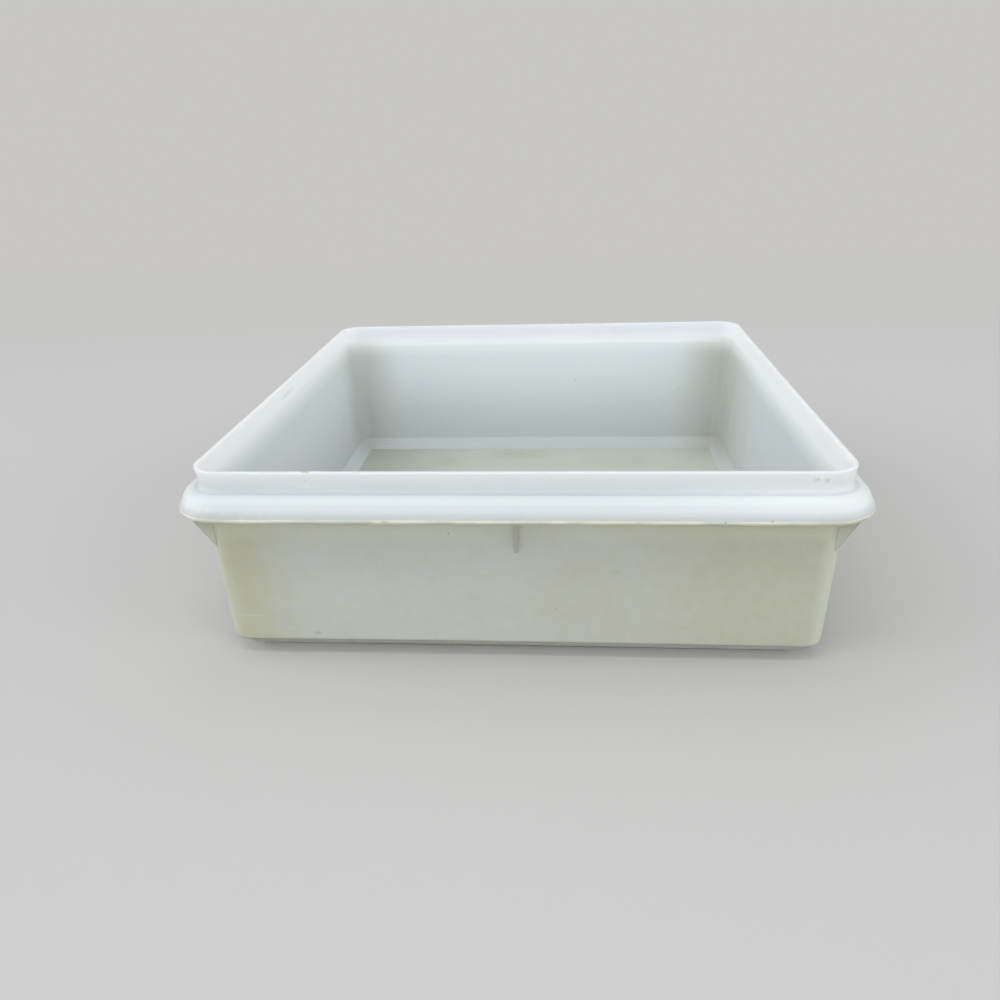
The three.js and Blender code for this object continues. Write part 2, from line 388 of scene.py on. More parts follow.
# %% [markdown]
# Yellowing starts where hands and heat reach most. On the outside it is strongest at the left
# corners, fainter and wider on the right, and cloudy in between. The corner mask is the smaller
# of the two distances from the tub's middle planes, which is large only near a corner, and noise
# that is drawn out upright breaks it into streaks.

# %% Yellowing
YELLOW_CORNER, YELLOW_LEFT_SPAN, YELLOW_LEFT = (74, 107), (-60, 0), 0.8
YELLOW_RIGHT_SPAN, YELLOW_RIGHT = (10, 80), 0.5
STREAK_SIZE, STREAK_STRETCH = 26, (1, 1, 0.4)
CLOUD_SIZE, CLOUD = 42, 0.3
MOTTLE_SIZE, MOTTLE = 5, 0.2


def near_corner(tree, axes, start, end):
    """Grows towards the tub's upright corners."""
    distances = [calc(tree, "ABSOLUTE", axis) for axis in axes[:2]]
    return along(tree, calc(tree, "MINIMUM", *distances), start, end)


def yellowing(tree, place, axes):
    streaks = ramp(tree, noise(tree, place, STREAK_SIZE, 3.0, STREAK_STRETCH), 0.3, 0.7, 0.65, 1.0)
    on_left = along(tree, axes[0], *YELLOW_LEFT_SPAN, YELLOW_LEFT, 0.0)
    left = times(tree, near_corner(tree, axes, *YELLOW_CORNER), on_left, streaks)
    right = along(tree, axes[0], *YELLOW_RIGHT_SPAN, 0.0, YELLOW_RIGHT)
    clouds = ramp(tree, noise(tree, place, CLOUD_SIZE), 0.4, 0.75, 0.0, CLOUD)
    mottle = ramp(tree, noise(tree, place, MOTTLE_SIZE, 4.0), 0.35, 0.7, 0.0, MOTTLE)
    amount = calc(tree, "MAXIMUM", calc(tree, "MAXIMUM", left, right), clouds)
    return calc(tree, "ADD", amount, mottle)


print("yellowing up to", YELLOW_LEFT, "at the left corners and", YELLOW_RIGHT, "on the right")

# %% [markdown]
# The outside starts from an ivory tint and takes the yellowing on top. Under the lip the wall is
# painted paler, painted light that fills the lip's shade. Towards the left and right sides the
# walls are painted paler too, as painted light, and the sloped band round the foot is painted
# palest of all, a painted glow of light that comes through the plastic.

# %% Outside of the walls
IVORY = srgb(215, 218, 211)
YELLOWED = srgb(205, 204, 174)
# Painted light: the wall just under the lip is painted paler, filling the lip's shade.
UNDER_LIP_LIGHT, UNDER_LIP_LIGHT_HEIGHTS, UNDER_LIP_LIGHT_SHARE = srgb(237, 238, 222), (UNDER_LIP, LIP_HEIGHT - 3), 0.55
# Painted light: the outside is painted paler towards the left and right sides, where corners and side
# walls catch the light.
SIDE_LIGHT = srgb(224, 227, 208)
SIDE_LIGHT_RIGHT_SPAN, SIDE_LIGHT_RIGHT = (107, 113), 0.9
SIDE_LIGHT_LEFT_SPAN, SIDE_LIGHT_LEFT = (-110, -115), 0.5
# Painted glow: the sloped band round the foot is painted palest, for light that comes through the
# plastic.
FOOT_GLOW, FOOT_GLOW_HEIGHTS = srgb(253, 252, 234), (BEVEL_HEIGHT - 0.3, BEVEL_HEIGHT - 1.5)


def aged_outside(tree, place, axes, mark, colour, wall_tint, yellow_share):
    ageing = times(tree, mark["outside"], mark["body"])
    colour = mix(tree, ageing, colour, wall_tint)
    yellow = times(tree, yellowing(tree, place, axes), ageing, yellow_share)
    colour = mix(tree, yellow, colour, YELLOWED)
    # painted light under the lip
    under_lip_light_mask = along(tree, axes[2], *UNDER_LIP_LIGHT_HEIGHTS, 0.0, UNDER_LIP_LIGHT_SHARE)
    colour = mix(tree, times(tree, under_lip_light_mask, ageing, yellow_share), colour, UNDER_LIP_LIGHT)
    # painted light towards the left and right sides
    right = along(tree, axes[0], *SIDE_LIGHT_RIGHT_SPAN, 0.0, SIDE_LIGHT_RIGHT)
    left = along(tree, axes[0], *SIDE_LIGHT_LEFT_SPAN, 0.0, SIDE_LIGHT_LEFT)
    colour = mix(tree, times(tree, calc(tree, "ADD", right, left), ageing), colour, SIDE_LIGHT)
    # painted glow on the sloped band round the foot
    foot_glow_mask = along(tree, axes[2], *FOOT_GLOW_HEIGHTS)
    return mix(tree, times(tree, foot_glow_mask, mark["outside"]), colour, FOOT_GLOW)


print("outside aged from", [round(v, 2) for v in IVORY[:3]], "in linear light")

# %% [markdown]
# The floor inside has a warmer tint, and a stain towards the left. Painted shade darkens the
# upright corners, and the right wall turns darker and olive, more so towards the back.

# %% Floor and darker corners
FLOOR_TINT, FLOOR_HEIGHTS = srgb(206, 210, 200), (FLOOR_TOP + 0.9, FLOOR_TOP + 0.3)
FLOOR_STAIN, STAIN_SPAN = srgb(188, 193, 182), (-40, -100)
# Painted shade in the upright corners inside; the right wall is tinted darker and olive towards the
# back.
CORNER_SHADE, DARK_CORNER_SPAN = srgb(178, 181, 170), (80, 113)
RIGHT_DARK_OLIVE, GRIME_RIGHT_SPAN = srgb(172, 171, 148), (-60, 60)
DARK_STREAK_SIZE, DARK_STREAK_STRETCH = 40, (1, 1, 0.5)
DARK_BACK_SPAN, DARK_WALL_SPAN, DARK_WALL = (20, 105), (104, 112), 1.3
DARKENING_STRENGTH = 0.6


# Painted shade in the corners, and darker olive along the right wall towards the back.
def grime(tree, place, axes):
    streaks = noise(tree, place, DARK_STREAK_SIZE, 2.0, DARK_STREAK_STRETCH)
    streaks = ramp(tree, streaks, 0.3, 0.7, 0.6, 1.0)
    right_wall = along(tree, axes[0], *DARK_WALL_SPAN, 0.0, DARK_WALL)
    along_right = times(tree, along(tree, axes[1], *DARK_BACK_SPAN), right_wall)
    amount = calc(tree, "MAXIMUM", near_corner(tree, axes, *DARK_CORNER_SPAN), along_right)
    return times(tree, amount, streaks, DARKENING_STRENGTH)


def floor_and_grime(tree, place, axes, mark, colour):
    floor = times(tree, along(tree, axes[2], *FLOOR_HEIGHTS), mark["inside"])
    floor_tint = mix(tree, along(tree, axes[0], *STAIN_SPAN), FLOOR_TINT, FLOOR_STAIN)
    colour = mix(tree, floor, colour, floor_tint)
    tint = mix(tree, along(tree, axes[0], *GRIME_RIGHT_SPAN), CORNER_SHADE, RIGHT_DARK_OLIVE)
    darkened = times(tree, grime(tree, place, axes), mark["inside"], mark["body"])
    return mix(tree, darkened, colour, tint)


print("grime of strength", DARKENING_STRENGTH, "in the corners")

# %% [markdown]
# The skirt darkens a little towards its lip, less so on the right. That is painted shade, with a
# bluish cast higher up and some yellowing nearer the edge. Along the lip's edge a thin pale line
# is a painted glow and highlight, broken and yellower on the right. The section's lip mark rises
# from the shoulder to the edge, so three steps of it give the three tones.

# %% Skirt and lip
# Painted shade on the skirt, darker towards the lip and less on the right: bluish higher up, yellower at
# the edge, which is partly yellowing.
SKIRT_SHADE = srgb(207, 213, 214)
SKIRT_EDGE_SHADE = srgb(203, 208, 196)
SKIRT_SHADE_SPAN, SKIRT_SHADE_LEFT, SKIRT_SHADE_RIGHT = (20, 110), 1.0, 0.8
# Painted glow and highlight: a thin pale line along the lip's edge, broken and yellower on the right.
LIP_GLOW = srgb(241, 242, 227)
LIP_GLOW_YELLOW, LIP_GLOW_YELLOW_SPAN = srgb(238, 236, 214), (-20, 60)
LIP_GLOW_BREAK_SIZE = 14


def skirt_and_lip(tree, place, axes, mark, colour):
    # painted shade on the skirt
    shade = along(tree, axes[0], *SKIRT_SHADE_SPAN, SKIRT_SHADE_LEFT, SKIRT_SHADE_RIGHT)
    colour = mix(tree, times(tree, ramp(tree, mark["lip"], 0.0, 0.6), shade), colour, SKIRT_SHADE)
    colour = mix(tree, times(tree, ramp(tree, mark["lip"], 0.5, 0.8), shade), colour, SKIRT_EDGE_SHADE)
    # painted glow and highlight along the lip
    broken = ramp(tree, noise(tree, place, LIP_GLOW_BREAK_SIZE, 3.0), 0.35, 0.6, 0.4, 1.0)
    lip_glow = mix(tree, along(tree, axes[0], *LIP_GLOW_YELLOW_SPAN), LIP_GLOW, LIP_GLOW_YELLOW)
    return mix(tree, times(tree, ramp(tree, mark["lip"], 0.85, 1.0), broken), colour, lip_glow)


print("skirt in 2 tones, with a broken line along the lip")

# %% [markdown]
# Smudges and specks come from use. A smudge has a place and a size, and noise breaks its outline.
# Specks are the cells of a Voronoi pattern, of which most are thrown away. Scratches are noise
# that is drawn out into long thin lines.

# %% Smudges, specks and scratches
SMUDGE_TINT = srgb(170, 162, 116)
# Smudges: place and reach along each axis in millimetres, strength
SMUDGES = [
    ((-83, 97, 3.1), (5, 4, 5), 0.25),
    ((-56, 86, 3.1), (14, 8, 5), 0.2),
    ((-12, 98, 3.1), (24, 10, 5), 0.2),
    ((48, 84, 3.1), (26, 12, 5), 0.15),
    ((102.5, -118.3, 77.6), (1.6, 2, 1.2), 0.35),
    ((105.6, -118.3, 77.2), (1.6, 2, 1.5), 0.4),
    ((-116.6, -6, 75.5), (4, 12, 1.5), 0.25),
    ((-108, -124, 66), (22, 8, 2.6), 0.15),
    ((112, -124, 65), (20, 8, 2.0), 0.15),
    ((-74, -118.2, 80.3), (2.6, 1.5, 0.35), 0.7),
    ((-45, -126.4, 64.8), (2.4, 2, 0.5), 0.6),
    ((-79, -115.4, 11), (1.8, 2, 1.2), 0.35),
    ((36, -116.2, 40), (2.4, 2, 1.6), 0.12),
]
SMUDGE_GRAIN = 2.5
SPECK_TINT, SPECK, SPECK_SPACING = srgb(112, 102, 80), 0.5, 8
SCRATCH_TINT, SCRATCH = srgb(236, 238, 234), 0.3
SCRATCH_TURNS, SCRATCH_STRETCH, SCRATCH_PATCH = (0.5, -0.9), (0.045, 1.1, 1.1), 18


def smudges(tree, place):
    rough_edge = noise(tree, place, SMUDGE_GRAIN, 4.0)
    total = 0.0
    for spot, reach, strength in SMUDGES:
        away = {0: place, 1: Vector(spot) * MM}
        away = add(tree, "ShaderNodeVectorMath", away, operation="SUBTRACT").outputs[0]
        scaled = {0: away, 1: Vector(reach) * MM}
        scaled = add(tree, "ShaderNodeVectorMath", scaled, operation="DIVIDE").outputs[0]
        near = add(tree, "ShaderNodeVectorMath", {0: scaled}, operation="LENGTH").outputs["Value"]
        broken = calc(tree, "MULTIPLY_ADD", rough_edge, 1.6, calc(tree, "SUBTRACT", near, 0.8))
        total = calc(tree, "MAXIMUM", total, ramp(tree, broken, 1.1, 0.25, 0.0, strength))
    return total


def specks(tree, place):
    inputs = {"Vector": place, "Scale": 1 / (SPECK_SPACING * MM)}
    cells = add(tree, "ShaderNodeTexVoronoi", inputs).outputs
    chance = add(tree, "ShaderNodeSeparateColor", {0: cells["Color"]}).outputs[0]
    return times(tree, ramp(tree, cells["Distance"], 0.055, 0.03), ramp(tree, chance, 0.5, 1.0))


def scratches(tree, place):
    """Two sets of long thin lines that cross, broken into short lengths."""
    lines = 0.0
    for turn in SCRATCH_TURNS:
        thin = noise(tree, place, 1.0, 1.0, SCRATCH_STRETCH, (0, 0, turn))
        lines = calc(tree, "MAXIMUM", lines, ramp(tree, thin, 0.7, 0.76))
    return times(tree, lines, ramp(tree, noise(tree, place, SCRATCH_PATCH), 0.45, 0.6))


def marks_of_use(tree, place, scratched, colour):
    colour = mix(tree, smudges(tree, place), colour, SMUDGE_TINT)
    colour = mix(tree, times(tree, scratched, SCRATCH), colour, SCRATCH_TINT)
    return mix(tree, times(tree, specks(tree, place), SPECK), colour, SPECK_TINT)


print(len(SMUDGES), "smudges placed")

# %% [markdown]
# The layers come together in one material. How far light spreads follows the thin mark: least in
# the walls, and most at the rim and the base's edge, which glow. The skirt lets so much of it
# through that there is hardly a shadow under the lip. The gussets get no scattering. Their backs
# are sunk in the wall, where no light reaches, and that dark would bleed out as a line. A fine
# bump gives the satin skin of a moulding, and scratches make it rougher.

# %% Polyethylene material
WALL_DEPTH, THIN_DEPTH = 1.5 * MM, 9 * MM
SPREAD = (1.0, 0.95, 0.8)  # red light goes a little further than blue
POLYETHYLENE_IOR = 1.5
SATIN_LOW, SATIN_HIGH, SATIN_PATCH, SCRATCH_ROUGH = 0.29, 0.38, 12, 0.12
GRAIN_COARSE, GRAIN_FINE = 9, 0.7
# The gussets are tinted paler than the walls: painted light for the light that would come through them.
RIB_LIGHTENED_TINT = srgb(228, 229, 208)


def plastic_colour(tree, place, axes, mark, scratched, wall_tint, yellow_share):
    colour = collar_and_inside(tree, axes, mark)
    colour = aged_outside(tree, place, axes, mark, colour, wall_tint, yellow_share)
    colour = floor_and_grime(tree, place, axes, mark, colour)
    colour = skirt_and_lip(tree, place, axes, mark, colour)
    return marks_of_use(tree, place, scratched, colour)


def polyethylene(name, wall_tint, yellow_share, scattering):
    material = bpy.data.materials.new(name)
    material.use_nodes = True
    tree = material.node_tree
    shader = tree.nodes["Principled BSDF"]
    place = add(tree, "ShaderNodeTexCoord").outputs["Object"]
    axes = add(tree, "ShaderNodeSeparateXYZ", {0: place}).outputs
    mark, scratched = section_marks(tree), scratches(tree, place)
    colour = plastic_colour(tree, place, axes, mark, scratched, wall_tint, yellow_share)
    tree.links.new(colour, shader.inputs["Base Color"])

    satin = ramp(tree, noise(tree, place, SATIN_PATCH, 3.0), 0.3, 0.7, SATIN_LOW, SATIN_HIGH)
    rough = calc(tree, "MULTIPLY_ADD", scratched, SCRATCH_ROUGH, satin)
    tree.links.new(rough, shader.inputs["Roughness"])
    shader.inputs["IOR"].default_value = POLYETHYLENE_IOR
    shader.inputs["Subsurface Weight"].default_value = scattering
    shader.inputs["Subsurface Radius"].default_value = SPREAD
    depth = ramp(tree, mark["thin"], 0, 1, WALL_DEPTH, THIN_DEPTH)
    tree.links.new(depth, shader.inputs["Subsurface Scale"])

    coarse, fine = noise(tree, place, GRAIN_COARSE), noise(tree, place, GRAIN_FINE)
    grain = calc(tree, "MULTIPLY_ADD", coarse, 2.0, fine)
    skin = {"Strength": 0.12, "Distance": 0.1 * MM, "Height": grain}
    tree.links.new(add(tree, "ShaderNodeBump", skin).outputs[0], shader.inputs["Normal"])
    return material


plastic = polyethylene("aged_polyethylene", IVORY, yellow_share=1.0, scattering=1.0)
rib_plastic = polyethylene("rib_polyethylene", RIB_LIGHTENED_TINT, yellow_share=0.0, scattering=0.0)
print("material", plastic.name, "of", len(plastic.node_tree.nodes), "nodes")

# %% [markdown]
# ## The tub shell
#
# Floor, base, walls and collar are one skin whose shape follows a rule: the section goes once
# round a square whose corners are rounded about four fixed centres. It could be extruded face by
# face or swept with a curve bevel, but a bevel can't keep the floor's corners sharp while the
# collar's are round. So the object holds only the section line, and a geometry tree rounds its
# corners, cuts its long straights, and lays it out on a grid: one row for each point of the
# section, one column for each station round the plan.

# %% Shell sizes
SHELL_SIZES = {
    "Corner Centre": CORNER_CENTRE * MM,
    "Floor Edge": FLOOR_EDGE * MM,
    "Floor Corner Round": 0.8 * MM,
    "Floor Top": FLOOR_TOP * MM,
    "Floor Underside": FOOT_HEIGHT * MM,
    "Longest Step": 3.0 * MM,
    "Round Steps": 4,
    "Side Steps": 96,
    "Corner Steps": 16,
    "Bow From": BEVEL_HEIGHT * MM,
    "Bow To": HEIGHT * MM,
    "Bow Right": 0.35 * MM,
    "Bow Back": 0.6 * MM,
    "Bow Left": 0.35 * MM,
    "Bow Front": 0.05 * MM,
    "Floor Lift": 0.35 * MM,
    "Unevenness": UNEVENNESS * MM,
    "Material": plastic,
}
shell_tree, size = new_shape_tree("section_round_a_square", SHELL_SIZES)
print("shell tree with", len(SHELL_SIZES), "named sizes")

# %% [markdown]
# First the section: every corner gets its own round, and no step of the line stays longer than
# the longest step, so that the walls can bow and catch the light evenly.

# %% Round and divide the section


def divided_section(tree, size):
    line = add(tree, "GeometryNodeMeshToCurve", {"Mesh": size["Geometry"]}).outputs["Curve"]
    radius = add(tree, "GeometryNodeInputNamedAttribute", {"Name": "round"}, data_type="FLOAT")
    fillet = {"Curve": line, "Count": size["Round Steps"], "Radius": radius.outputs["Attribute"]}
    fillet["Limit Radius"] = True
    rounded = add(tree, "GeometryNodeFilletCurve", fillet, mode="POLY").outputs["Curve"]
    index = add(tree, "GeometryNodeInputIndex").outputs[0]
    ahead = {"Point Index": index, "Offset": 1}
    following = add(tree, "GeometryNodeOffsetPointInCurve", ahead).outputs["Point Index"]
    here = add(tree, "GeometryNodeInputPosition").outputs[0]
    look = {"Value": here, "Index": following}
    there = add(tree, "GeometryNodeFieldAtIndex", look, data_type="FLOAT_VECTOR").outputs["Value"]
    step = add(tree, "ShaderNodeVectorMath", {0: here, 1: there}, operation="DISTANCE").outputs["Value"]
    cuts = calc(tree, "FLOOR", calc(tree, "DIVIDE", step, size["Longest Step"]))
    return add(tree, "GeometryNodeSubdivideCurve", {"Curve": rounded, "Cuts": cuts}).outputs["Curve"]


section = divided_section(shell_tree, size)
print("section rounded and divided")

# %% [markdown]
# Then the grid. A column number becomes a side, a share of the way along it, and a turn round the
# corner after it. The corner's radius grows with the section's half-width, because all corners
# turn about the same centres; near the floor it stops at a small fixed round. Cooling pulls the
# walls of such a tub in a little between their corners, which the bow adds.

# %% Lay the section round the plan
FLOOR_CORNER_GROWTH = 0.2  # of the way out from the floor's edge, up to the fixed round


def section_value(tree, curve, row, name=None):
    """What the section has at a row: its place, or one of its named attributes."""
    if name is None:
        value, kind = add(tree, "GeometryNodeInputPosition").outputs[0], "FLOAT_VECTOR"
    else:
        source = add(tree, "GeometryNodeInputNamedAttribute", {"Name": name}, data_type="FLOAT")
        value, kind = source.outputs["Attribute"], "FLOAT"
    inputs = {"Geometry": curve, "Value": value, "Index": row}
    return add(tree, "GeometryNodeSampleIndex", inputs, data_type=kind, domain="POINT").outputs["Value"]


def plan_place(tree, size, half, height, station, quarter_steps):
    quarter = calc(tree, "FLOOR", calc(tree, "DIVIDE", station, quarter_steps))
    local = calc(tree, "SUBTRACT", station, calc(tree, "MULTIPLY", quarter, quarter_steps))
    share = calc(tree, "MINIMUM", calc(tree, "DIVIDE", local, size["Side Steps"]), 1.0)
    way = calc(tree, "MULTIPLY_ADD", share, 2.0, -1.0)
    past = calc(tree, "MAXIMUM", calc(tree, "SUBTRACT", local, size["Side Steps"]), 0.0)
    turn = calc(tree, "MULTIPLY", calc(tree, "DIVIDE", past, size["Corner Steps"]), math.pi / 2)

    beyond = calc(tree, "SUBTRACT", half, size["Floor Edge"])
    from_floor = calc(tree, "MULTIPLY", beyond, FLOOR_CORNER_GROWTH)
    least = calc(tree, "MINIMUM", from_floor, size["Floor Corner Round"])
    corner_round = calc(tree, "MAXIMUM", calc(tree, "SUBTRACT", half, size["Corner Centre"]), least)
    centre = calc(tree, "SUBTRACT", half, corner_round)
    out = calc(tree, "MULTIPLY_ADD", corner_round, calc(tree, "COSINE", turn), centre)
    side_part = calc(tree, "MULTIPLY", corner_round, calc(tree, "SINE", turn))
    across = calc(tree, "MULTIPLY_ADD", way, centre, side_part)

    switch = add(tree, "GeometryNodeIndexSwitch", data_type="FLOAT")
    switch.index_switch_items.new()
    switch.index_switch_items.new()
    tree.links.new(calc(tree, "MODULO", quarter, 4.0), switch.inputs["Index"])
    for i, side in enumerate(("Right", "Back", "Left", "Front")):
        tree.links.new(size["Bow " + side], switch.inputs[str(i)])
    crown = calc(tree, "SUBTRACT", 1.0, calc(tree, "MULTIPLY", way, way))
    rise = ramp(tree, height, size["Bow From"], size["Bow To"])
    bow = calc(tree, "MULTIPLY", switch.outputs[0], calc(tree, "MULTIPLY", crown, rise))
    out = calc(tree, "SUBTRACT", out, bow)

    flat = add(tree, "ShaderNodeCombineXYZ", {0: out, 1: across, 2: height}).outputs[0]
    angle = calc(tree, "MULTIPLY", quarter, math.pi / 2)
    spin = {"Vector": flat, "Angle": angle}
    return add(tree, "ShaderNodeVectorRotate", spin, rotation_type="Z_AXIS").outputs[0]


def swept_skin(tree, size, curve):
    counts = add(tree, "GeometryNodeAttributeDomainSize", {"Geometry": curve}, component="CURVE")
    rows = counts.outputs["Point Count"]
    quarter_steps = calc(tree, "ADD", size["Side Steps"], size["Corner Steps"])
    stations = calc(tree, "MULTIPLY", quarter_steps, 4.0)
    counts = {"Vertices X": calc(tree, "ADD", stations, 1.0), "Vertices Y": rows}
    grid = add(tree, "GeometryNodeMeshGrid", {"Size X": 1.0, "Size Y": 1.0, **counts}).outputs["Mesh"]

    cell = add(tree, "ShaderNodeSeparateXYZ", {0: add(tree, "GeometryNodeInputPosition").outputs[0]})
    column = calc(tree, "MULTIPLY", calc(tree, "ADD", cell.outputs[0], 0.5), stations)
    last_row = calc(tree, "SUBTRACT", rows, 1.0)
    row = calc(tree, "MULTIPLY", calc(tree, "ADD", cell.outputs[1], 0.5), last_row)
    station, row = calc(tree, "ROUND", column), calc(tree, "ROUND", row)

    for name in MARKS:
        stored = {"Geometry": grid, "Name": name, "Value": section_value(tree, curve, row, name)}
        grid = add(tree, "GeometryNodeStoreNamedAttribute", stored, data_type="FLOAT").outputs[0]
    point = add(tree, "ShaderNodeSeparateXYZ", {0: section_value(tree, curve, row)}).outputs
    place = plan_place(tree, size, point[0], point[2], station, quarter_steps)
    return add(tree, "GeometryNodeSetPosition", {"Geometry": grid, "Position": place}).outputs[0]


skin = swept_skin(shell_tree, size, section)
print("skin laid out in", 4 * (SHELL_SIZES["Side Steps"] + SHELL_SIZES["Corner Steps"]), "stations")

# %% [markdown]
# Two square grids close the floor from above and below, with the same spacing as the sides, so
# that all their edge points weld. Last, the whole skin gets what no moulding is without: the
# middle of the floor stands a hair higher than its edge, and the surface is uneven by a few
# hundredths of a millimetre, which is enough to break up a highlight.

# %% Close the floor and add unevenness
LIFT_FADE, UNEVEN_SPACING = 40, 45
WELD = 0.004  # points that are closer than this become one


def floor_grid(tree, size, height, outside):
    width = calc(tree, "MULTIPLY", size["Floor Edge"], 2.0)
    count = calc(tree, "ADD", size["Side Steps"], 1.0)
    inputs = {"Size X": width, "Size Y": width, "Vertices X": count, "Vertices Y": count}
    grid = add(tree, "GeometryNodeMeshGrid", inputs).outputs["Mesh"]
    lift = add(tree, "ShaderNodeCombineXYZ", {2: height}).outputs[0]
    raised = add(tree, "GeometryNodeSetPosition", {"Geometry": grid, "Offset": lift}).outputs[0]
    stored = {"Geometry": raised, "Name": "outside", "Value": outside}
    return add(tree, "GeometryNodeStoreNamedAttribute", stored, data_type="FLOAT").outputs[0]


def joined(tree, *parts):
    """Several meshes as one, with the points welded where they meet."""
    join = add(tree, "GeometryNodeJoinGeometry")
    for part in parts:
        tree.links.new(part, join.inputs[0])
    weld = {"Geometry": join.outputs[0], "Distance": WELD * MM}
    return add(tree, "GeometryNodeMergeByDistance", weld).outputs[0]


def uneven(tree, size, skin):
    place = add(tree, "GeometryNodeInputPosition").outputs[0]
    axes = add(tree, "ShaderNodeSeparateXYZ", {0: place}).outputs
    product = times(tree, *(calc(tree, "DIVIDE", axis, size["Corner Centre"]) for axis in axes[:2]))
    middle = calc(tree, "SUBTRACT", 1.0, times(tree, product, product))
    low = along(tree, axes[2], 0, LIFT_FADE, 1.0, 0.0)
    lift = times(tree, size["Floor Lift"], calc(tree, "MAXIMUM", middle, 0.0), low)
    inputs = {"Vector": place, "Scale": 1 / (UNEVEN_SPACING * MM), "Detail": 2.0}
    cloud = add(tree, "ShaderNodeTexNoise", inputs).outputs["Color"]
    parts = add(tree, "ShaderNodeSeparateXYZ", {0: cloud}).outputs
    twice = calc(tree, "MULTIPLY", size["Unevenness"], 2.0)
    shift = [times(tree, calc(tree, "SUBTRACT", part, 0.5), twice) for part in parts[:2]]
    offset = add(tree, "ShaderNodeCombineXYZ", {0: shift[0], 1: shift[1], 2: lift}).outputs[0]
    return add(tree, "GeometryNodeSetPosition", {"Geometry": skin, "Offset": offset}).outputs[0]


upper = floor_grid(shell_tree, size, size["Floor Top"], INSIDE)
underside = floor_grid(shell_tree, size, size["Floor Underside"], OUTSIDE)
underside = add(shell_tree, "GeometryNodeFlipFaces", {"Mesh": underside}).outputs[0]
closed = joined(shell_tree, skin, upper, underside)
close_tree(shell_tree, uneven(shell_tree, size, closed), size["Material"])
tub = shaped("tub_shell", section_line, shell_tree, SHELL_SIZES)
describe(tub)

# %% [markdown]
# ## The gusset ribs
#
# Eight thin gussets tie the skirt to the wall, one in the middle of each side and one on each
# corner's diagonal. They are one shape, repeated, so one flat outline is thickened once and set
# on eight points. It reaches a little into the shell, so that no gap shows.

# %% One gusset
RIB_DROP, RIB_SETBACK = 15.9, 0.6  # lip to the toe below it, and to the outer point above it
RIB_SINK = 0.6
RIB_TOE, RIB_POINT = LIP_HEIGHT - RIB_DROP, LIP_HEIGHT + RIB_SETBACK
RIB_SIZES = {
    "Toe Height": RIB_TOE * MM,
    "Top Height": FLANGE_UNDERSIDE * MM,
    "Toe Width": 1.2 * MM,
    "Top Width": 1.7 * MM,
    "Corner Offset": CORNER_CENTRE * (math.sqrt(2) - 1) * MM,
    "Material": rib_plastic,
}


def rib_outline():
    corners = [
        (wall_outer(RIB_TOE) - RIB_SINK, RIB_TOE - RIB_SINK),
        (wall_outer(RIB_TOE), RIB_TOE),
        (skirt_inner(RIB_POINT), RIB_POINT),
        (skirt_inner(RIB_POINT) + RIB_SINK, RIB_POINT + RIB_SINK),
        (skirt_inner(FLANGE_UNDERSIDE) + RIB_SINK, FLANGE_UNDERSIDE + RIB_SINK),
        (wall_outer(FLANGE_UNDERSIDE) - RIB_SINK, FLANGE_UNDERSIDE + RIB_SINK),
    ]
    mesh = bpy.data.meshes.new("rib_outline")
    order = range(len(corners) - 1, -1, -1)
    mesh.from_pydata([(h * MM, 0, z * MM) for h, z in corners], [], [order])
    return mesh


def thickened(tree, size):
    """The outline with a thickness that tapers towards the toe."""
    across = add(tree, "ShaderNodeCombineXYZ", {1: 1.0}).outputs[0]
    raised = {"Mesh": size["Geometry"], "Offset": across, "Individual": False}
    body = add(tree, "GeometryNodeExtrudeMesh", raised, mode="FACES").outputs["Mesh"]
    back = add(tree, "GeometryNodeFlipFaces", {"Mesh": size["Geometry"]}).outputs[0]
    place = add(tree, "GeometryNodeInputPosition").outputs[0]
    axes = add(tree, "ShaderNodeSeparateXYZ", {0: place}).outputs
    taper = {"Value": axes[2], "From Min": size["Toe Height"], "From Max": size["Top Height"]}
    taper.update({"To Min": size["Toe Width"], "To Max": size["Top Width"]})
    width = add(tree, "ShaderNodeMapRange", taper).outputs["Result"]
    y = times(tree, calc(tree, "SUBTRACT", axes[1], 0.5), width)
    place = add(tree, "ShaderNodeCombineXYZ", {0: axes[0], 1: y, 2: axes[2]}).outputs[0]
    tapered = {"Geometry": joined(tree, body, back), "Position": place}
    rib = add(tree, "GeometryNodeSetPosition", tapered).outputs[0]
    marked = {"Geometry": rib, "Name": "outside", "Value": OUTSIDE}
    return add(tree, "GeometryNodeStoreNamedAttribute", marked, data_type="FLOAT").outputs[0]


rib_tree, size = new_shape_tree("gussets_round_a_square", RIB_SIZES)
rib = thickened(rib_tree, size)
print("gusset", round(FLANGE_UNDERSIDE - RIB_TOE, 1), "mm high")

# %% [markdown]
# Then the eight points. A corner gusset only stands further out, because the section is the same
# there, so every second point moves out along its diagonal, by what a corner lies further from
# the axis than a side. A small bevel takes the knife edges off, as a mould does.

# %% Eight gussets
RIB_EDGE = 0.25


